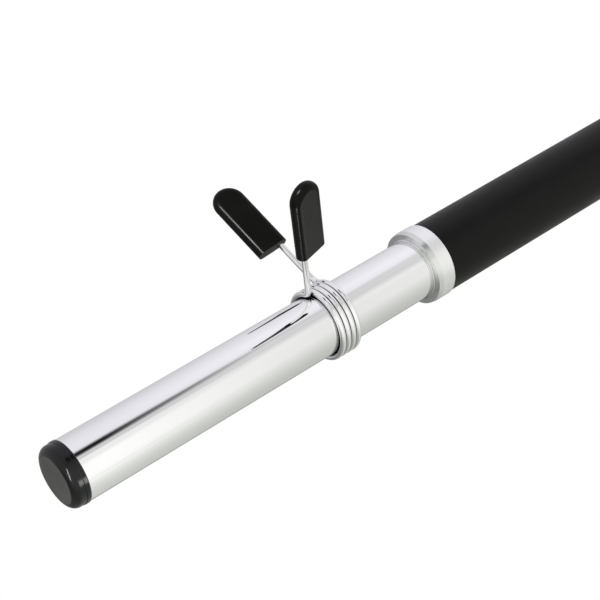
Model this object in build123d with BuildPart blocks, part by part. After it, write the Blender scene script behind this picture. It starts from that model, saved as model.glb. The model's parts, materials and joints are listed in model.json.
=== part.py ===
"""Weight bar with two wire spring clips.

The bar is a chromed steel tube along X with its centre at the origin and +Z up. A rubber grip covers the
middle, a stop ring stands at each end of the grip, and the bare tube outside each ring carries the plates.
A wire spring clip holds the plates on each end, and a moulded cap closes each end of the tube.

The right end is the left end turned half a turn about Z, because both clips are wound the same way.
"""

import math
import os

from build123d import *

# Driving dimensions, millimetres
BAR_LENGTH = 1300.0
TUBE_DIAMETER = 30.0
TUBE_WALL = 2.5
CAP_HEAD = 8.0  # how far a cap stands out of the tube
SLEEVE = 199.8  # bare tube between the end of the tube and the stop ring
RING_DIAMETER = 37.7
RING_WIDTH = 10.3
GRIP_DIAMETER = 36.6
WIRE = 2.9  # spring wire
COIL_PITCH = 3.1
COIL_RADIUS = 16.75  # to the middle of the wire
COIL_TURNS = 4
COIL_START = 137.4  # from the end of the tube to the middle of the clip's outermost turn
PAD_WIDTH = 16.6
PAD_THICKNESS = 6.2
PAD_LENGTH = 40.0

# Smaller dimensions
TUBE_CHAMFER = 0.4
CAP_FILLET = 3.8
CAP_LIP = 0.3  # how far the lip by the tube stands above the head
CAP_LIP_WIDTH = 2.0
CAP_SEAT_CHAMFER = 0.3
CAP_PLUG_LENGTH = 22.0
CAP_PLUG_WALL = 2.2
CAP_PLUG_CLEARANCE = 0.4
CAP_BARB_BITE = 0.1  # how far each barb bites into the tube's wall
CAP_BARB_WIDTH = 1.6
CAP_BARBS = (5.0, 10.0, 15.0)  # from the end of the tube to each barb
RING_CLEARANCE = 0.05
RING_ROOT_FILLET = 0.9
RING_LEAD = 2.6  # length of the polished cone at the ring's front edge
RING_LEAD_DROP = 0.4
RING_BACK_CHAMFER = 0.3
SCREW_DIAMETER = 5.0
SCREW_SOCKET = 2.5  # across the flats
SCREW_SOCKET_DEPTH = 2.0
SCREW_RECESS = 0.3  # from the ring's outside to the screw's head
SCREW_POINT_CHAMFER = 0.8
GRIP_EDGE_FILLET = 0.6
HAIRPIN_RADIUS = 4.6  # the wire's return loop inside a pad, to the middle of the wire
HAIRPIN_RETURN = 24.0  # straight length of the returning wire
PAD_EDGE_FILLET = 2.4
PAD_TIP_WALL = 1.65  # pad beyond the hairpin's outside
POCKET_CLEARANCE = 0.05
SPRING_SPLIT = 1.0  # degrees of arc left open between the coil and each arm

# Each arm: the way it points, in degrees from straight up towards the clip's other arm, how far it passes
# from the bar's axis, the radius of its foot, the distance from the bar's axis to its pad, its lean towards
# the end of the bar, and the twist of its hairpin and pad, in degrees
OUTER_ARM = {"points": -0.4, "offset": 5.3, "foot": 4.0, "pad": 42.0, "lean": 8.0, "twist": 6.0}
INNER_ARM = {"points": 71.0, "offset": -5.3, "foot": 6.0, "pad": 42.9, "lean": 3.2, "twist": -2.5}

TUBE_LENGTH = BAR_LENGTH - 2 * CAP_HEAD
TUBE_RADIUS = TUBE_DIAMETER / 2
TUBE_BORE = TUBE_RADIUS - TUBE_WALL
RING_RADIUS = RING_DIAMETER / 2
GRIP_LENGTH = TUBE_LENGTH - 2 * (SLEEVE + RING_WIDTH)
SIDES = {"left": -1, "right": 1}


def along(side):
    """A plane through the bar's axis: x runs outwards from the end of the tube, y is up."""
    return Plane(origin=(side * TUBE_LENGTH / 2, 0, 0), x_dir=(side, 0, 0), z_dir=(0, -side, 0))


def across(side, inwards=0.0):
    """A plane square to the bar, this far inside the end of the tube: x is up, z points outwards."""
    return Plane(origin=(side * (TUBE_LENGTH / 2 - inwards), 0, 0), x_dir=(0, 0, 1), z_dir=(side, 0, 0))


def polar(radius, degrees):
    """A point in an across() plane, at this angle from straight up."""
    angle = math.radians(degrees)
    return (radius * math.cos(angle), radius * math.sin(angle))


def bar_tube():
    with BuildPart() as tube:
        with BuildSketch(Plane.YZ):
            Circle(TUBE_RADIUS)
            Circle(TUBE_BORE, mode=Mode.SUBTRACT)
        extrude(amount=TUBE_LENGTH / 2, both=True)
        chamfer(tube.edges().filter_by(GeomType.CIRCLE), TUBE_CHAMFER)
    return tube.part


def grip_sleeve():
    with BuildPart() as grip:
        with BuildSketch(Plane.YZ):
            Circle(GRIP_DIAMETER / 2)
            Circle(TUBE_RADIUS, mode=Mode.SUBTRACT)
        extrude(amount=GRIP_LENGTH / 2, both=True)
        rims = grip.edges().filter_by(GeomType.CIRCLE).filter_by(lambda e: e.radius > TUBE_RADIUS + 1)
        fillet(rims, GRIP_EDGE_FILLET)
    return grip.part


def stop_ring(side):
    """A turned collar with a small root fillet towards the plates and a threaded hole below."""
    front, back = -SLEEVE, -SLEEVE - RING_WIDTH
    bore = TUBE_RADIUS + RING_CLEARANCE
    root = RING_ROOT_FILLET
    with BuildPart() as ring:
        with BuildSketch(along(side)):
            with BuildLine():
                Polyline((front + root, bore), (back, bore), (back, RING_RADIUS - RING_BACK_CHAMFER))
                Line((back, RING_RADIUS - RING_BACK_CHAMFER), (back + RING_BACK_CHAMFER, RING_RADIUS))
                Line((back + RING_BACK_CHAMFER, RING_RADIUS), (front - RING_LEAD, RING_RADIUS))
                Line((front - RING_LEAD, RING_RADIUS), (front, RING_RADIUS - RING_LEAD_DROP))
                Line((front, RING_RADIUS - RING_LEAD_DROP), (front, bore + root))
                RadiusArc((front, bore + root), (front + root, bore), -root)
            make_face()
        revolve(axis=Axis.X)
        with Locations(screw_plane(side)):
            Hole(SCREW_DIAMETER / 2, depth=RING_RADIUS - TUBE_RADIUS + 2)
    return ring.part


def screw_plane(side):
    """Stands on the underside of the ring, with z pointing down, out of the ring."""
    middle = side * (TUBE_LENGTH / 2 - SLEEVE - RING_WIDTH / 2)
    return Plane(origin=(middle, 0, -RING_RADIUS), x_dir=(1, 0, 0), z_dir=(0, 0, -1))


def ring_screw(side):
    """A socket set screw whose point presses on the tube."""
    head = screw_plane(side).offset(-SCREW_RECESS)
    length = RING_RADIUS - SCREW_RECESS - TUBE_RADIUS
    with BuildPart() as screw:
        with BuildSketch(head):
            Circle(SCREW_DIAMETER / 2)
        extrude(amount=-length)
        point = screw.edges().filter_by(GeomType.CIRCLE).sort_by(Axis.Z)[-1]
        chamfer(point, SCREW_POINT_CHAMFER)
        with BuildSketch(head):
            RegularPolygon(SCREW_SOCKET / 2, 6, major_radius=False)
        extrude(amount=-SCREW_SOCKET_DEPTH, mode=Mode.SUBTRACT)
    return screw.part


def end_cap(side):
    """A moulded cap: a rounded head as wide as the tube, and a hollow plug with three barbs."""
    stem = TUBE_BORE - CAP_PLUG_CLEARANCE
    with BuildPart() as cap:
        with BuildSketch(along(side)):
            with BuildLine():
                Polyline(
                    (-CAP_PLUG_LENGTH, stem - CAP_PLUG_WALL),
                    (-CAP_PLUG_LENGTH, stem),
                    (0, stem),
                    (0, TUBE_RADIUS + CAP_LIP - CAP_SEAT_CHAMFER),
                    (CAP_SEAT_CHAMFER, TUBE_RADIUS + CAP_LIP),
                    (CAP_LIP_WIDTH, TUBE_RADIUS + CAP_LIP),
                    (CAP_LIP_WIDTH + CAP_LIP, TUBE_RADIUS),
                    (CAP_HEAD - CAP_FILLET, TUBE_RADIUS),
                )
                RadiusArc((CAP_HEAD - CAP_FILLET, TUBE_RADIUS), (CAP_HEAD, TUBE_RADIUS - CAP_FILLET), CAP_FILLET)
                Polyline(
                    (CAP_HEAD, TUBE_RADIUS - CAP_FILLET),
                    (CAP_HEAD, 0),
                    (CAP_HEAD - 3, 0),
                    (0, stem - CAP_PLUG_WALL),
                    (-CAP_PLUG_LENGTH, stem - CAP_PLUG_WALL),
                )
            make_face()
        revolve(axis=Axis.X)
        with BuildSketch(along(side)):
            for barb in CAP_BARBS:
                with BuildLine():
                    Polyline(
                        (-barb, stem - 1),
                        (-barb, TUBE_BORE + CAP_BARB_BITE),
                        (-barb - CAP_BARB_WIDTH, stem),
                        (-barb - CAP_BARB_WIDTH, stem - 1),
                        close=True,
                    )
                make_face()
        revolve(axis=Axis.X)
    return cap.part


def foot_angle(arm):
    """The angle, from straight up, at which the coil ends and the arm's foot starts."""
    spread = math.degrees(math.asin((abs(arm["offset"]) + arm["foot"]) / (COIL_RADIUS + arm["foot"])))
    return arm["points"] + math.copysign(spread, arm["offset"])


def coil_span():
    """The angles at which the coil starts, at the outer arm, and ends, at the inner arm."""
    return foot_angle(OUTER_ARM), foot_angle(INNER_ARM) + 360 * COIL_TURNS


def arm_station(arm):
    """The distance from the end of the tube to the middle of the arm's wire."""
    start, end = coil_span()
    return COIL_START if arm is OUTER_ARM else COIL_START + COIL_PITCH * (end - start) / 360


def clip_coil(side):
    """Close turns of spring wire round the tube, from one arm's foot to the other's."""
    start, end = coil_span()
    first, last = start + SPRING_SPLIT, end - SPRING_SPLIT
    station = COIL_START + COIL_PITCH * SPRING_SPLIT / 360
    seat = across(side, station)
    x_dir = seat.from_local_coords(polar(1, first)) - seat.origin
    base = Plane(origin=seat.origin, x_dir=x_dir, z_dir=-seat.z_dir)
    helix = base.location * Helix(
        COIL_PITCH, COIL_PITCH * (last - first) / 360, COIL_RADIUS, lefthand=True
    )
    with BuildPart() as coil:
        with BuildSketch(Plane(origin=helix @ 0, z_dir=helix % 0)):
            Circle(WIRE / 2)
        sweep(path=helix, is_frenet=True)
    return coil.part


def heading(seat, degrees):
    """The direction in the world of this angle in an across() plane."""
    return seat.from_local_coords(polar(1, degrees)) - seat.origin


def arm_plane(side, arm):
    """Holds the arm's hairpin: x runs out along the arm from the bar's axis, y runs inwards, but for the twist."""
    seat = across(side, arm_station(arm))
    origin = seat.from_local_coords(polar(arm["offset"], arm["points"] + 90))
    twist = math.radians(arm["twist"])
    z_dir = heading(seat, arm["points"] + 90) * math.cos(twist) + seat.z_dir * math.sin(twist)
    return Plane(origin=origin, x_dir=heading(seat, arm["points"]), z_dir=z_dir)


def leaned(side, arm, part):
    """Tips an arm or its pad outwards about the line in which the coil runs into the arm's foot."""
    seat = across(side, arm_station(arm))
    foot = seat.from_local_coords(polar(COIL_RADIUS, foot_angle(arm)))
    return part.rotate(Axis(foot, heading(seat, foot_angle(arm) + 90)), -arm["lean"])


def clip_arm(side, arm):
    """A curved foot off the coil, a straight arm, and a hairpin back inside the pad."""
    seat = across(side, arm_station(arm))
    plane = arm_plane(side, arm)
    reach = arm["foot"] + COIL_RADIUS
    sideways = math.copysign(abs(arm["offset"]) + arm["foot"], arm["offset"])
    straight_from = math.sqrt(reach**2 - sideways**2)
    centre = Vector(*polar(reach, foot_angle(arm)))
    out, aside = Vector(*polar(1, arm["points"])), Vector(*polar(1, arm["points"] + 90))
    foot_start = Vector(*polar(COIL_RADIUS, foot_angle(arm)))
    foot_end = centre - aside * math.copysign(arm["foot"], arm["offset"])
    middle = centre + ((foot_start + foot_end) / 2 - centre).normalized() * arm["foot"]
    inwards = 1 if arm is OUTER_ARM else -1
    tip = arm["pad"] + PAD_LENGTH - PAD_TIP_WALL - WIRE / 2
    turn = tip - HAIRPIN_RADIUS
    far = 2 * HAIRPIN_RADIUS * inwards
    points = [(straight_from, 0), (turn, 0), (tip, far / 2), (turn, far), (turn - HAIRPIN_RETURN, far)]
    corner = [plane.from_local_coords(point) for point in points]
    with BuildPart() as wire:
        with BuildLine() as path:
            ThreePointArc(*[seat.from_local_coords(p) for p in (foot_start, middle, foot_end)])
            Line(corner[0], corner[1])
            ThreePointArc(corner[1], corner[2], corner[3])
            Line(corner[3], corner[4])
        with BuildSketch(Plane(origin=path.wire() @ 0, z_dir=path.wire() % 0)):
            Circle(WIRE / 2)
        sweep(path=path.wire())
    return leaned(side, arm, wire.part)


def clip_pad(side, arm):
    """A flat moulded sleeve with a round tip, and a pocket that fits the hairpin."""
    inwards = 1 if arm is OUTER_ARM else -1
    plane = arm_plane(side, arm)
    base = Plane(
        origin=plane.from_local_coords((arm["pad"], HAIRPIN_RADIUS * inwards)),
        x_dir=plane.x_dir,
        z_dir=plane.z_dir,
    )
    pocket_half = HAIRPIN_RADIUS + WIRE / 2 + POCKET_CLEARANCE
    pocket_centre = PAD_LENGTH - PAD_TIP_WALL - WIRE / 2 - HAIRPIN_RADIUS
    with BuildPart() as pad:
        with BuildSketch(base):
            tip_centre = PAD_LENGTH - PAD_WIDTH / 2
            Rectangle(tip_centre, PAD_WIDTH, align=(Align.MIN, Align.CENTER))
            with Locations((tip_centre, 0)):
                Circle(PAD_WIDTH / 2)
        extrude(amount=PAD_THICKNESS / 2, both=True)
        ends = pad.faces().filter_by(lambda f: abs(f.normal_at().dot(base.x_dir)) > 0.99)
        foot = ends.sort_by(Axis(base.origin, base.x_dir))[0].edges()
        outline = pad.edges().filter_by(lambda e: abs(e.tangent_at(0.5).dot(base.z_dir)) < 0.01)
        fillet([e for e in outline if e not in foot], PAD_EDGE_FILLET)
        with BuildSketch(base):
            Rectangle(pocket_centre, 2 * pocket_half, align=(Align.MIN, Align.CENTER))
            with Locations((pocket_centre, 0)):
                Circle(pocket_half)
        extrude(amount=WIRE / 2 + POCKET_CLEARANCE, both=True, mode=Mode.SUBTRACT)
    return leaned(side, arm, pad.part)


def save(name, part):
    part.label = name
    export_step(part, f"parts/{name}.step")


os.makedirs("parts", exist_ok=True)
save("bar_tube", bar_tube())
save("grip_sleeve", grip_sleeve())
for name, side in SIDES.items():
    save(f"{name}_stop_ring", stop_ring(side))
    save(f"{name}_ring_screw", ring_screw(side))
    save(f"{name}_end_cap", end_cap(side))
    save(f"{name}_clip_coil", clip_coil(side))
    save(f"{name}_clip_outer_arm", clip_arm(side, OUTER_ARM))
    save(f"{name}_clip_inner_arm", clip_arm(side, INNER_ARM))
    save(f"{name}_clip_outer_pad", clip_pad(side, OUTER_ARM))
    save(f"{name}_clip_inner_pad", clip_pad(side, INNER_ARM))
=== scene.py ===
"""Weight bar with two wire spring clips: the looks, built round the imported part. Metres, +Z up."""

import json
import math

import bmesh
import bpy
from mathutils import Matrix, Vector

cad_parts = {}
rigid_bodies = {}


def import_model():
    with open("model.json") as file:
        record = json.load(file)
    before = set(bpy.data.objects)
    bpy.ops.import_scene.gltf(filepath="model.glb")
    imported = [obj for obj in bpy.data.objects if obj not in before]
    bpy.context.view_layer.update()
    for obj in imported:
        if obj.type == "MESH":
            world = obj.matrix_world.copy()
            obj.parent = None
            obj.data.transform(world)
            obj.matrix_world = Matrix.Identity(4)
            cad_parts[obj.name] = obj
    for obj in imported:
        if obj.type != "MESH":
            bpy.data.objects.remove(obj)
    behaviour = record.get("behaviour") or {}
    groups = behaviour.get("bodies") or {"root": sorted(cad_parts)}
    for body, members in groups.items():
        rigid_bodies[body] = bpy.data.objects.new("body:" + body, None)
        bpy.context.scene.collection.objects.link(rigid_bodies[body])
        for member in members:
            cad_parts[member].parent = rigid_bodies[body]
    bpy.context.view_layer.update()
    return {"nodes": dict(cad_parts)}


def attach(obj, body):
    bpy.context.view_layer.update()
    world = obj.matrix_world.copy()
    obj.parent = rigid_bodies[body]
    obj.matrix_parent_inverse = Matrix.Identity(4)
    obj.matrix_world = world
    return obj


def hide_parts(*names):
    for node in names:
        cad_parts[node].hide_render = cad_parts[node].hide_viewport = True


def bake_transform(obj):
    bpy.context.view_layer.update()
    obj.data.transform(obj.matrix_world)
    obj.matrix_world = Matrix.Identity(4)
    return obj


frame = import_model()

MM = 0.001
# Dimensions in millimetres and degrees, the same as the CAD's unless a comment says otherwise
TUBE_LENGTH = 1284.0
TUBE_RADIUS = 15.0
TUBE_BORE = 12.5
TUBE_CHAMFER = 0.1  # 0.4 in the CAD; the cap covers it
CAP_HEAD = 8.0
CAP_FILLET = 3.8
CAP_LIP = 0.3
CAP_LIP_WIDTH = 2.0
CAP_WEB = 3.0  # from the head's flat to the hollow
CAP_FLAT_RING = 9.0  # a ring of vertices on the flat, for even shading
PLUG_LENGTH = 22.0
PLUG_RADIUS = TUBE_BORE - 0.4
PLUG_WALL = 2.2
BARBS = (15.0, 10.0, 5.0)
BARB_LENGTH = 1.6
BARB_BITE = 0.1
SLEEVE = 199.8
RING_RADIUS = 18.85
RING_WIDTH = 10.3
RING_LEAD = 2.6
RING_LEAD_DROP = 0.4
RING_CHAMFER = 0.3
RING_FRONT_CHAMFER = 0.15  # not in the CAD
RING_ROOT = 0.9
RING_CLEARANCE = 0.05
GRIP_RADIUS = 18.3
GRIP_LENGTH = TUBE_LENGTH - 2 * (SLEEVE + RING_WIDTH)
GRIP_EDGE = 0.6
WIRE = 1.45  # radius
COIL_PITCH = 3.1
COIL_RADIUS = 16.75
COIL_TURNS = 4
COIL_START = 137.4
HAIRPIN_RADIUS = 4.6  # the pad's middle line is this far to one side of the arm
WIRE_IN_PAD = 4.0  # the visible wire ends here; the CAD's goes on round the hairpin
PAD_WIDTH = 16.6
PAD_THICKNESS = 6.2
PAD_LENGTH = 40.0
PAD_FILLET = 2.9  # 2.4 in the CAD, where the hairpin needs the wall
PAD_FLAT_LOOPS = (0.5, 2.5)  # loops of vertices in from the fillet, for even shading
PAD_SPINE = 0.6  # half width of the strip of faces down the middle
# Each arm: the way it points and its offset from the bar's axis, the foot's bend radius, the pad's distance
# from the axis, the lean along the bar, the pad's twist, and the side of the arm that the pad lies on
OUTER_ARM = {
    "points": -0.4,
    "offset": 5.3,
    "foot": 4.0,
    "pad": 42.0,
    "lean": 8.0,
    "twist": 6.0,
    "inwards": 1,
}
INNER_ARM = {
    "points": 71.0,
    "offset": -5.3,
    "foot": 6.0,
    "pad": 42.9,
    "lean": 3.2,
    "twist": -2.5,
    "inwards": -1,
}
TAU = 2 * math.pi
# Sockets of a Mix node that mixes colours
MIX_A, MIX_B, MIX_RESULT = 6, 7, 2


# ---------------------------------------------------------------- materials
BUMP_DEPTH = 0.0002


class Nodes:
    """A material or world node tree with short calls to add and join nodes."""

    def __init__(self, tree):
        self.tree = tree

    def add(self, kind, **values):
        """A new node, with each value set on its property or its input of that name."""
        node = self.tree.nodes.new(kind)
        for name, value in values.items():
            if hasattr(node, name):
                setattr(node, name, value)
            else:
                node.inputs[name.replace("_", " ")].default_value = value
        return node

    def join(self, a, b):
        self.tree.links.new(a, b)

    def ramp(self, source, stops):
        """A colour ramp over the source, from (place, colour) stops in rising order."""
        ramp = self.add("ShaderNodeValToRGB")
        elements = ramp.color_ramp.elements
        while len(elements) > 1:
            elements.remove(elements[-1])
        for i, (place, colour) in enumerate(stops):
            element = elements[0] if i == 0 else elements.new(place)
            element.position = place
            element.color = (*colour, 1)
        self.join(source, ramp.inputs[0])
        return ramp.outputs[0]


def linear(*srgb):
    """Linear colour from three 0..255 display values."""
    return tuple(c / 255 / 12.92 if c <= 10.3 else ((c / 255 + 0.055) / 1.055) ** 2.4 for c in srgb)


def grey(level):
    return (level,) * 3


def material(name):
    """A new material, its nodes, its shader and the object's own coordinates."""
    made = bpy.data.materials.new(name)
    made.use_nodes = True
    nodes = Nodes(made.node_tree)
    shader = made.node_tree.nodes["Principled BSDF"]
    place = nodes.add("ShaderNodeTexCoord").outputs["Object"]
    return made, nodes, shader, place


def stretched(nodes, place, scale):
    mapping = nodes.add("ShaderNodeMapping")
    mapping.inputs["Scale"].default_value = scale
    nodes.join(place, mapping.inputs["Vector"])
    return mapping.outputs[0]


def noise(nodes, vector, scale, detail=3.0, roughness=0.5):
    texture = nodes.add("ShaderNodeTexNoise", Scale=scale, Detail=detail, Roughness=roughness)
    nodes.join(vector, texture.inputs["Vector"])
    return texture.outputs["Fac"]


def bump(nodes, shader, height, strength):
    node = nodes.add("ShaderNodeBump", Strength=strength, Distance=BUMP_DEPTH)
    nodes.join(height, node.inputs["Height"])
    nodes.join(node.outputs[0], shader.inputs["Normal"])


def metal(name, colour, dull, grain_scale, grain_strength, rough, spots=40.0, painted_shade_reach=0.0):
    """Plated or turned metal: fine grain, faint changes of polish, and painted shade that darkens the
    crevices, its reach given in metres.
    """
    made, nodes, shader, place = material(name)
    shader.inputs["Metallic"].default_value = 1.0
    polish = noise(nodes, stretched(nodes, place, (0.4, 1, 1)), spots, 4)
    roughness = nodes.ramp(polish, [(0.35, grey(rough[0])), (0.75, grey(rough[1]))])
    nodes.join(roughness, shader.inputs["Roughness"])
    tone = nodes.ramp(polish, [(0.3, dull), (0.6, colour)])
    # painted shade: an ambient occlusion ramp darkens the base colour where surfaces crowd close
    if painted_shade_reach:
        depth = nodes.add("ShaderNodeAmbientOcclusion", Distance=painted_shade_reach)
        shade = nodes.ramp(depth.outputs["AO"], [(0.14, grey(0.05)), (0.40, grey(0.58)), (0.66, grey(1))])
        mix = nodes.add("ShaderNodeMix", data_type="RGBA", blend_type="MULTIPLY")
        mix.inputs[0].default_value = 1.0
        nodes.join(tone, mix.inputs[MIX_A])
        nodes.join(shade, mix.inputs[MIX_B])
        tone = mix.outputs[MIX_RESULT]
    nodes.join(tone, shader.inputs["Base Color"])
    grain = noise(nodes, stretched(nodes, place, grain_scale), 1.0, 5, 0.65)
    bump(nodes, shader, grain, grain_strength)
    return made


def moulded(name, colour, light, rough, specular, pebble, strength):
    """Rubber or plastic: a pebbled skin, cloudy colour and an uneven sheen."""
    made, nodes, shader, place = material(name)
    clouds = noise(nodes, place, 60.0, 4)
    nodes.join(nodes.ramp(clouds, [(0.35, colour), (0.7, light)]), shader.inputs["Base Color"])
    roughness = nodes.ramp(clouds, [(0.3, grey(rough[0])), (0.7, grey(rough[1]))])
    nodes.join(roughness, shader.inputs["Roughness"])
    shader.inputs["Specular IOR Level"].default_value = specular
    skin = noise(nodes, place, pebble, 2, 0.5)
    bump(nodes, shader, skin, strength)
    return made


CHROME = metal(
    "chrome",
    colour=(0.93, 0.93, 0.94),
    dull=(0.90, 0.90, 0.91),
    grain_scale=(900, 60, 60),
    grain_strength=0.012,
    rough=(0.018, 0.04),
)
# painted shade darkens the wire's colour in the grooves between the coil's turns and where it lies on the
# tube
WIRE_CHROME = metal(
    "wire_plating",
    colour=(0.91, 0.91, 0.91),
    dull=(0.86, 0.86, 0.86),
    grain_scale=(500, 500, 500),
    grain_strength=0.02,
    rough=(0.04, 0.09),
    spots=160,
    painted_shade_reach=0.0022,
)
RING_STEEL = metal(
    "turned_steel",
    colour=(0.93, 0.93, 0.935),
    dull=(0.88, 0.88, 0.88),
    grain_scale=(60, 900, 900),
    grain_strength=0.10,
    rough=(0.26, 0.40),
    spots=90,
)
# painted shade darkens this finish's colour on the ring's front and root fillet, close to the tube
RING_FACE = metal(
    "turned_face",
    colour=(0.74, 0.75, 0.73),
    dull=(0.60, 0.61, 0.59),
    grain_scale=(2600, 60, 60),
    grain_strength=0.08,
    rough=(0.16, 0.28),
    spots=90,
    painted_shade_reach=0.004,
)
SCREW_STEEL = metal(
    "screw_steel",
    colour=(0.10, 0.10, 0.11),
    dull=(0.06, 0.06, 0.065),
    grain_scale=(800, 800, 800),
    grain_strength=0.1,
    rough=(0.3, 0.5),
    spots=300,
)
GRIP_RUBBER = moulded(
    "grip_rubber",
    colour=(0.0014, 0.0014, 0.0013),
    light=(0.0024, 0.0024, 0.0022),
    rough=(0.34, 0.44),
    specular=0.17,
    pebble=1500.0,
    strength=0.10,
)
CAP_PLASTIC = moulded(
    "cap_plastic",
    colour=(0.0030, 0.0030, 0.0034),
    light=(0.0055, 0.0055, 0.0060),
    rough=(0.14, 0.22),
    specular=0.30,
    pebble=900.0,
    strength=0.02,
)
CAP_FACE = moulded(
    "cap_face",
    colour=(0.036, 0.037, 0.034),
    light=(0.054, 0.055, 0.050),
    rough=(0.45, 0.55),
    specular=0.30,
    pebble=1500.0,
    strength=0.12,
)
PAD_PLASTIC = moulded(
    "pad_plastic",
    colour=(0.0018, 0.0018, 0.0016),
    light=(0.0030, 0.0030, 0.0025),
    rough=(0.22, 0.30),
    specular=0.09,
    pebble=700.0,
    strength=0.02,
)


# ---------------------------------------------------------------- mesh helpers
def finish_mesh(name, bm, finish, sharp, weighted=False):
    """A piece from a bmesh in millimetres. Edges that turn by more than sharp degrees stay sharp."""
    bmesh.ops.recalc_face_normals(bm, faces=bm.faces)
    bmesh.ops.scale(bm, vec=(MM,) * 3, verts=bm.verts)
    data = bpy.data.meshes.new(name)
    bm.to_mesh(data)
    bm.free()
    data.shade_smooth()
    data.set_sharp_from_angle(angle=math.radians(sharp))
    piece = bpy.data.objects.new(name, data)
    bpy.context.collection.objects.link(piece)
    data.materials.append(finish)
    if weighted:
        modifier = piece.modifiers.new("normals", "WEIGHTED_NORMAL")
        modifier.keep_sharp = True
    return piece


def second_finish(piece, finish, beyond):
    """Gives the faces further than this from the bar's middle, in metres, another material."""
    piece.data.materials.append(finish)
    for face in piece.data.polygons:
        face.material_index = int(abs(face.center.x) > beyond)


def arc(centre, radius, start, end, steps):
    """Points (x, r) of an arc, angles in degrees."""
    out = []
    for i in range(steps + 1):
        a = math.radians(start + (end - start) * i / steps)
        out.append((centre[0] + radius * math.cos(a), centre[1] + radius * math.sin(a)))
    return out


def lathe(profile, segments):
    """Turns a closed profile of (x, radius) points round the X axis. A radius of 0 makes a pole."""
    bm = bmesh.new()
    rings = []
    for x, r in profile:
        turns = [TAU * i / segments for i in range(segments if r else 1)]
        rings.append([bm.verts.new((x, r * math.cos(turn), r * math.sin(turn))) for turn in turns])
    for a, b in zip(rings, rings[1:] + rings[:1]):
        for i in range(segments):
            j = (i + 1) % segments
            corners = (a[i % len(a)], a[j % len(a)], b[j % len(b)], b[i % len(b)])
            face = list(dict.fromkeys(corners))
            if len(face) > 2:
                bm.faces.new(face)
    return bm


def swept(points, radius, sides=28, bevel=0.2):
    """A round wire along points, with flat ends that have a small bevel, a share of the radius."""
    bm = bmesh.new()
    last = len(points) - 1
    tangents = [(points[min(i + 1, last)] - points[max(i - 1, 0)]).normalized() for i in range(last + 1)]
    # stations: the point, how far past it along the wire, and the radius
    stations = [(i, 0.0, radius) for i in range(last + 1)]
    stations.insert(0, (0, -bevel * radius, (1 - bevel) * radius))
    stations.append((last, bevel * radius, (1 - bevel) * radius))
    normal = tangents[0].orthogonal().normalized()
    rings = []
    for i, past, size in stations:
        tangent = tangents[i]
        normal = (normal - tangent * normal.dot(tangent)).normalized()
        across = tangent.cross(normal)
        centre = points[i] + tangent * past
        turns = [TAU * j / sides for j in range(sides)]
        spokes = [normal * math.cos(turn) + across * math.sin(turn) for turn in turns]
        rings.append([bm.verts.new(centre + spoke * size) for spoke in spokes])
    for a, b in zip(rings, rings[1:]):
        for j in range(sides):
            bm.faces.new((a[j], a[(j + 1) % sides], b[(j + 1) % sides], b[j]))
    bm.faces.new(rings[0])
    bm.faces.new(rings[-1])
    return bm


# ---------------------------------------------------------------- places on the bar, millimetres
def seat_point(side, inwards, radius, degrees):
    """A point square to the bar, at this angle from straight up towards the clip's other arm."""
    a = math.radians(degrees)
    return Vector((side * (TUBE_LENGTH / 2 - inwards), -side * radius * math.sin(a), radius * math.cos(a)))


def foot_angle(arm):
    """Where the arm's foot leaves the coil."""
    spread = math.degrees(math.asin((abs(arm["offset"]) + arm["foot"]) / (COIL_RADIUS + arm["foot"])))
    return arm["points"] + math.copysign(spread, arm["offset"])


def coil_span():
    """The angles at which the coil starts and ends."""
    return foot_angle(OUTER_ARM), foot_angle(INNER_ARM) + 360 * COIL_TURNS


def arm_station(arm):
    """How far the arm stands from the tube's end."""
    start, end = coil_span()
    return COIL_START if arm is OUTER_ARM else COIL_START + COIL_PITCH * (end - start) / 360


class ArmFrame:
    """The arm's own axes: out along the arm, in along the bar, and square to its hairpin."""

    def __init__(self, side, arm):
        station = arm_station(arm)
        seat = seat_point(side, station, 0, 0)
        self.out = seat_point(side, station, 1, arm["points"]) - seat
        aside = seat_point(side, station, 1, arm["points"] + 90) - seat
        inwards = Vector((-side, 0, 0))
        twist = math.radians(arm["twist"])
        self.across = inwards * math.cos(twist) + aside * math.sin(twist)
        self.square = aside * math.cos(twist) - inwards * math.sin(twist)
        self.origin = seat + aside * arm["offset"]
        foot = seat_point(side, station, COIL_RADIUS, foot_angle(arm))
        tangent = seat_point(side, station, 1, foot_angle(arm) + 90) - seat
        turn = Matrix.Rotation(math.radians(-arm["lean"]), 4, tangent)
        self.lean = Matrix.Translation(foot) @ turn @ Matrix.Translation(-foot)

    def point(self, along, across=0.0, square=0.0):
        """A point of the arm or its pad, leaned with them."""
        return self.lean @ (self.origin + self.out * along + self.across * across + self.square * square)


def foot_points(side, arm, steps=14):
    """The curved foot, from the coil to the straight arm, and the arm's distance from the axis there."""
    axes = ArmFrame(side, arm)
    station = arm_station(arm)
    reach = arm["foot"] + COIL_RADIUS
    centre = seat_point(side, station, reach, foot_angle(arm))
    start = seat_point(side, station, COIL_RADIUS, foot_angle(arm)) - centre
    sideways = abs(arm["offset"]) + arm["foot"]
    straight = math.sqrt(reach**2 - sideways**2)
    end = axes.origin + axes.out * straight - centre
    whole = start.angle(end)
    spin = start.cross(end).normalized()
    points = [centre + Matrix.Rotation(whole * i / steps, 3, spin) @ start for i in range(steps + 1)]
    return [axes.lean @ p for p in points], straight


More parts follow.
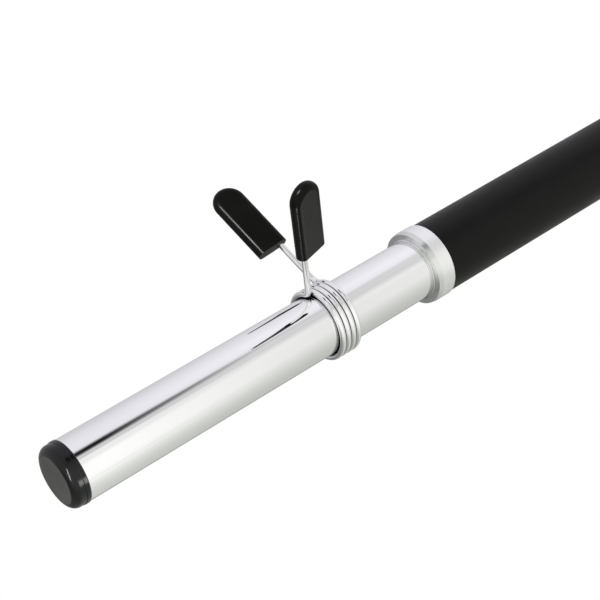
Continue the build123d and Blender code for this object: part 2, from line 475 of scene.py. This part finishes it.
def wire_points(side, arm_steps=12, coil_steps=400):
    """The wire's middle line from inside the outer pad, round the coil, to inside the inner pad."""
    start, end = coil_span()
    ends = []
    for arm in (OUTER_ARM, INNER_ARM):
        axes = ArmFrame(side, arm)
        foot, straight = foot_points(side, arm)
        run = arm["pad"] + WIRE_IN_PAD - straight
        ends.append(foot[1:] + [axes.point(straight + run * i / arm_steps) for i in range(1, arm_steps + 1)])
    coil = []
    for i in range(coil_steps + 1):
        degrees = start + (end - start) * i / coil_steps
        station = COIL_START + COIL_PITCH * (degrees - start) / 360
        coil.append(seat_point(side, station, COIL_RADIUS, degrees))
    return ends[0][::-1] + coil + ends[1]


def pad_outline(half, tip, side_steps=6, tip_steps=48):
    """A pad's outline as (length, width) points: up one side, round the tip, down the other."""
    rises = [tip * i / side_steps for i in range(side_steps)]
    turns = [math.pi * i / tip_steps for i in range(tip_steps + 1)]
    points = [(rise, half) for rise in rises]
    points += [(tip + half * math.sin(turn), half * math.cos(turn)) for turn in turns]
    return points + [(rise, -half) for rise in reversed(rises)]


def clip_pad(side, arm, name, edge_steps=8):
    """A moulded pad with rounded edges, a round tip and a square-cut foot."""
    axes = ArmFrame(side, arm)
    half, thick = PAD_WIDTH / 2, PAD_THICKNESS / 2
    tip = PAD_LENGTH - half
    bm = bmesh.new()

    def loop(inset, height):
        verts = []
        for along, across in pad_outline(half - inset, tip):
            place = axes.point(arm["pad"] + along, arm["inwards"] * HAIRPIN_RADIUS + across, height)
            verts.append(bm.verts.new(place))
        return verts

    # (inset, height) from the pad's middle up over the rounded edge, and in across the flat
    upper = []
    for i in range(edge_steps + 1):
        turn = math.radians(90 * i / edge_steps)
        upper.append((PAD_FILLET * (1 - math.cos(turn)), thick - PAD_FILLET + PAD_FILLET * math.sin(turn)))
    upper += [(PAD_FILLET + inset, thick) for inset in PAD_FLAT_LOOPS] + [(half - PAD_SPINE, thick)]
    loops = [loop(inset, -height) for inset, height in reversed(upper)]
    loops += [loop(inset, height) for inset, height in upper]
    for a, b in zip(loops, loops[1:]):
        for i in range(len(a) - 1):
            bm.faces.new((a[i], a[i + 1], b[i + 1], b[i]))
    for flat in (loops[0], loops[-1]):
        count = len(flat)
        for i in range(count // 2):
            corners = (flat[i], flat[i + 1], flat[count - 2 - i], flat[count - 1 - i])
            face = list(dict.fromkeys(corners))
            if len(face) > 2:
                bm.faces.new(face)
    bm.faces.new([verts[0] for verts in loops] + [verts[-1] for verts in reversed(loops)])
    return finish_mesh(name, bm, PAD_PLASTIC, 40, weighted=True)


# ---------------------------------------------------------------- pieces of the bar
FACE_MARGIN = 0.01  # millimetres, to pick the faces beyond a plane
half_tube = TUBE_LENGTH / 2
tube_profile = [
    (-half_tube, TUBE_BORE),
    (-half_tube, TUBE_RADIUS - TUBE_CHAMFER),
    (-half_tube + TUBE_CHAMFER, TUBE_RADIUS),
    (half_tube - TUBE_CHAMFER, TUBE_RADIUS),
    (half_tube, TUBE_RADIUS - TUBE_CHAMFER),
    (half_tube, TUBE_BORE),
]
tube = finish_mesh("tube", lathe(tube_profile, 256), CHROME, 20)
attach(tube, "bar")
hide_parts("bar_tube")

half_grip = GRIP_LENGTH / 2
grip_edge = GRIP_RADIUS - GRIP_EDGE
grip_profile = [(-half_grip, TUBE_RADIUS)]
grip_profile += arc((-half_grip + GRIP_EDGE, grip_edge), GRIP_EDGE, 180, 90, 8)
grip_profile += arc((half_grip - GRIP_EDGE, grip_edge), GRIP_EDGE, 90, 0, 8)
grip_profile += [(half_grip, TUBE_RADIUS)]
grip = finish_mesh("grip", lathe(grip_profile, 192), GRIP_RUBBER, 50)
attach(grip, "bar")
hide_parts("grip_sleeve")

for name, side in (("left", -1), ("right", 1)):
    end = half_tube

    def placed(profile):
        """Points (x from the tube's end, radius) put on this end of the bar."""
        return [(side * (end + x), r) for x, r in profile]

    # end cap: rounded head with a lip, hollow plug and barbs
    head = arc((CAP_HEAD - CAP_FILLET, TUBE_RADIUS - CAP_FILLET), CAP_FILLET, 90, 0, 16)
    hollow = PLUG_RADIUS - PLUG_WALL
    cap_profile = [(-PLUG_LENGTH, hollow), (-PLUG_LENGTH, PLUG_RADIUS)]
    for barb in BARBS:
        cap_profile += [(-barb - BARB_LENGTH, PLUG_RADIUS), (-barb, TUBE_BORE + BARB_BITE)]
        cap_profile += [(-barb, PLUG_RADIUS)]
    cap_profile += [(0.0, PLUG_RADIUS), (0.0, TUBE_RADIUS)]
    cap_profile += [(CAP_LIP, TUBE_RADIUS + CAP_LIP), (CAP_LIP_WIDTH, TUBE_RADIUS + CAP_LIP)]
    cap_profile += [(CAP_LIP_WIDTH + CAP_LIP, TUBE_RADIUS)] + head
    cap_profile += [(CAP_HEAD, CAP_FLAT_RING), (CAP_HEAD, 0.0), (CAP_HEAD - CAP_WEB, 0.0), (0.0, hollow)]
    cap = finish_mesh(f"{name}_cap", lathe(placed(cap_profile), 160), CAP_PLASTIC, 30)
    second_finish(cap, CAP_FACE, (end + CAP_HEAD - FACE_MARGIN) * MM)
    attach(cap, "bar")
    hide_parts(f"{name}_end_cap")

    # stop ring: satin outside, and polished on the lead, the front and the root fillet, with painted shade on
    # the front towards the tube
    front, back, bore = -SLEEVE, -SLEEVE - RING_WIDTH, TUBE_RADIUS + RING_CLEARANCE
    lead = RING_RADIUS - RING_LEAD_DROP
    ring_profile = [(back, bore), (back, RING_RADIUS - RING_CHAMFER), (back + RING_CHAMFER, RING_RADIUS)]
    ring_profile += [(front - RING_LEAD, RING_RADIUS), (front - RING_FRONT_CHAMFER, lead)]
    ring_profile += [(front, lead - RING_FRONT_CHAMFER)]
    ring_profile += arc((front + RING_ROOT, bore + RING_ROOT), RING_ROOT, 180, 270, 8)
    ring = finish_mesh(f"{name}_ring", lathe(placed(ring_profile), 256), RING_STEEL, 8)
    second_finish(ring, RING_FACE, (end + front - RING_LEAD + FACE_MARGIN) * MM)
    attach(ring, "bar")
    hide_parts(f"{name}_stop_ring")

    # spring wire and its two pads
    wire = finish_mesh(f"{name}_wire", swept(wire_points(side), WIRE), WIRE_CHROME, 50)
    inner, outer = f"{name}_clip_inner_arm", f"{name}_clip_outer_arm"
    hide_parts(f"{name}_clip_coil", inner, outer)
    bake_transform(wire)
    for arm, body, tag in ((OUTER_ARM, outer, "outer"), (INNER_ARM, inner, "inner")):
        pad = clip_pad(side, arm, f"{name}_{tag}_pad")
        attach(pad, body)
        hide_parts(f"{name}_clip_{tag}_pad")

    screw = frame["nodes"][f"{name}_ring_screw"]
    screw.data.materials.clear()
    screw.data.materials.append(SCREW_STEEL)

# ---------------------------------------------------------------- camera
CAMERA_PLACE = (-0.85734, -0.39863, 0.49671)
CAMERA_AZIMUTH = math.radians(49.290)
CAMERA_DOWN = math.radians(42.051)
camera_data = bpy.data.cameras.new("camera")
camera_data.lens = 93.916
camera_data.sensor_width = 36.0
camera_data.clip_start = 0.01
camera_data.clip_end = 200.0
camera = bpy.data.objects.new("camera", camera_data)
bpy.context.collection.objects.link(camera)
bpy.context.scene.camera = camera
looks = Vector(
    (
        math.cos(CAMERA_DOWN) * math.cos(CAMERA_AZIMUTH),
        math.cos(CAMERA_DOWN) * math.sin(CAMERA_AZIMUTH),
        -math.sin(CAMERA_DOWN),
    )
)
camera.location = CAMERA_PLACE
camera.rotation_mode = "QUATERNION"
camera.rotation_quaternion = looks.to_track_quat("-Z", "Y")

# ---------------------------------------------------------------- floor and light
FLOOR_REACH = 60.0
FLOOR_GAP = 0.0002
floor_mesh = bpy.data.meshes.new("floor")
floor_corners = [(FLOOR_REACH * x, FLOOR_REACH * y, 0) for x, y in ((-1, -1), (1, -1), (1, 1), (-1, 1))]
floor_mesh.from_pydata(floor_corners, [], [(0, 1, 2, 3)])
floor = bpy.data.objects.new("floor", floor_mesh)
floor.location.z = -RING_RADIUS * MM - FLOOR_GAP
bpy.context.collection.objects.link(floor)
# plain white paper that the metal doesn't reflect, because the studio's own bands stand for the table
paper = bpy.data.materials.new("paper")
paper.use_nodes = True
paper_nodes = Nodes(paper.node_tree)
paper.node_tree.nodes.remove(paper.node_tree.nodes["Principled BSDF"])
glow = paper_nodes.add("ShaderNodeEmission", Strength=1.0)
glow.inputs["Color"].default_value = (1, 1, 1, 1)
paper_nodes.join(glow.outputs[0], paper.node_tree.nodes["Material Output"].inputs["Surface"])
floor_mesh.materials.append(paper)
floor.visible_glossy = False
floor.visible_shadow = False

# The studio round the bar, as bands of light by angle about the bar's axis. A band is its degrees from the
# far side (+Y) over the top, its tint, its level on the 0..255 display scale round the middle and towards the
# bar's end, and how much of the dark strip between the overhead box and the front panel it takes
STUDIO = [
    (-70, "neutral", 150, 150, 0),  # the room behind
    (-36, "lilac", 195, 190, 0),
    (-24, "lilac", 200, 200, 0),
    (0, "lilac", 207, 215, 0),
    (24, "lilac", 220, 225, 0),
    (36, "lilac", 225, 230, 0),
    (60, "lilac", 230, 240, 0),  # overhead box
    (78, "lilac", 228, 235, 0),
    (84, "lilac", 222, 220, 0.45),
    (87, "neutral", 218, 215, 0.90),
    (91, "neutral", 214, 212, 1.0),  # dark strip
    (96, "neutral", 213, 212, 0.75),
    (102, "neutral", 205, 210, 0),
    (109, "neutral", 200, 208, 0),
    (114, "neutral", 238, 215, 0),
    (126, "warm", 236, 234, 0),
    (132, "warm", 250, 234, 0),  # front panel
    (138, "warm", 254, 231, 0),
    (170, "warm", 254, 231, 0),
    (180, "warm", 251, 225, 0),
    (186, "warm", 240, 221, 0),
    (192, "warm", 244, 219, 0),
    (204, "olive", 230, 210, 0),  # table
    (222, "olive", 215, 200, 0),
    (246, "olive", 203, 190, 0),
    (275, "olive", 196, 186, 0),
    (290, "neutral", 150, 150, 0),
]
# The same studio along the bar: the direction's x, the share of the end's levels, the strip's depth, and how
# much the light from below fades
STUDIO_STEPS = [
    (-0.1, 0.0, 0.0, 0.28),
    (0.16, 0.0, 0.0, 0.0),
    (0.27, 0.0, 0.83, 0.0),
    (0.345, 0.0, 0.96, 0.0),
    (0.40, 0.45, 0.45, 0.0),
    (0.455, 0.85, 0.09, 0.0),
    (0.545, 1.0, 0.0, 0.0),
]


def band_level(degrees, middle, towards_end, strip, share, depth, fade):
    """A band's level at one step along the bar. A shallow strip is also a narrow one."""
    level = middle + (towards_end - middle) * share
    if depth:
        level *= 1 - depth * strip ** (1 / depth)
    return level * (1 - fade * max(0.0, -math.sin(math.radians(degrees))) ** 1.5)


TINTS = {"neutral": (0, 0, 0), "lilac": (0, -1, 4), "warm": (0, 0, -2), "olive": (-1, 1, -4)}
STUDIO_STRENGTH = 1.08
world = bpy.data.worlds.new("studio")
bpy.context.scene.world = world
world.use_nodes = True
sky = Nodes(world.node_tree)
background = world.node_tree.nodes["Background"]
direction = sky.add("ShaderNodeTexCoord").outputs["Generated"]
split = sky.add("ShaderNodeSeparateXYZ")
sky.join(direction, split.inputs[0])
angle = sky.add("ShaderNodeMath", operation="ARCTAN2")
sky.join(split.outputs["Z"], angle.inputs[0])
sky.join(split.outputs["Y"], angle.inputs[1])
turned = sky.add("ShaderNodeMath", operation="MULTIPLY_ADD")
sky.join(angle.outputs[0], turned.inputs[0])
turned.inputs[1].default_value = 1 / TAU
turned.inputs[2].default_value = -STUDIO[0][0] / 360
wrapped = sky.add("ShaderNodeMath", operation="FRACT")
sky.join(turned.outputs[0], wrapped.inputs[0])
# from the angle about the bar, a ramp for each step, mixed by the direction's x
light = None
for step, (place, *along) in enumerate(STUDIO_STEPS):
    stops = []
    for degrees, tint, *band in STUDIO:
        level = band_level(degrees, *band, *along)
        colour = linear(*(min(255, level + change) for change in TINTS[tint]))
        stops.append(((degrees - STUDIO[0][0]) / 360, colour))
    column = sky.ramp(wrapped.outputs[0], stops)
    if light is None:
        light = column
        continue
    share = sky.add("ShaderNodeMapRange")
    sky.join(split.outputs["X"], share.inputs["Value"])
    share.inputs["From Min"].default_value = STUDIO_STEPS[step - 1][0]
    share.inputs["From Max"].default_value = place
    mix = sky.add("ShaderNodeMix", data_type="RGBA")
    sky.join(share.outputs[0], mix.inputs[0])
    sky.join(light, mix.inputs[MIX_A])
    sky.join(column, mix.inputs[MIX_B])
    light = mix.outputs[MIX_RESULT]
sky.join(light, background.inputs["Color"])
background.inputs["Strength"].default_value = STUDIO_STRENGTH

# Small lights that fall on one plastic only, for the streaks on the pads and the caps: name, finish, place
# from the spot in LIT_FROM, width and height in metres, watts
LAMPS = [
    ("key", PAD_PLASTIC, (-0.45, 0.08, 0.88), (0.07, 0.30), 12.0),
    ("table_edge", PAD_PLASTIC, (-0.50, -0.53, -0.63), (0.12, 0.16), 3.2),
    ("table_face", PAD_PLASTIC, (0.50, -0.58, -0.63), (0.50, 0.40), 1.0),
    ("cap_streak", CAP_PLASTIC, (-0.78, -0.44, 0.45), (0.07, 0.70), 6.0),
    ("cap_side", CAP_PLASTIC, (0.32, -0.95, 0.03), (0.16, 0.30), 1.3),
]
# by the left clip, and by the left cap
LIT_FROM = {PAD_PLASTIC: Vector((-0.5, 0, 0.04)), CAP_PLASTIC: Vector((-0.65, 0, 0))}
receivers = {}
for finish in LIT_FROM:
    receivers[finish] = bpy.data.collections.new(f"lit_{finish.name}")
    for piece in list(bpy.data.objects):
        if piece.type == "MESH" and piece.data.materials and piece.data.materials[0] is finish:
            receivers[finish].objects.link(piece)
for lamp_name, finish, towards, (width, height), watts in LAMPS:
    lamp_data = bpy.data.lights.new(lamp_name, "AREA")
    lamp_data.shape = "RECTANGLE"
    lamp_data.size, lamp_data.size_y = width, height
    lamp_data.energy = watts
    lamp = bpy.data.objects.new(lamp_name, lamp_data)
    bpy.context.collection.objects.link(lamp)
    lamp.location = LIT_FROM[finish] + Vector(towards)
    lamp.rotation_mode = "QUATERNION"
    lamp.rotation_quaternion = (-Vector(towards)).to_track_quat("-Z", "Y")
    lamp.visible_camera = False
    lamp.light_linking.receiver_collection = receivers[finish]

scene = bpy.context.scene
scene.view_settings.view_transform = "Standard"
scene.view_settings.look = "None"
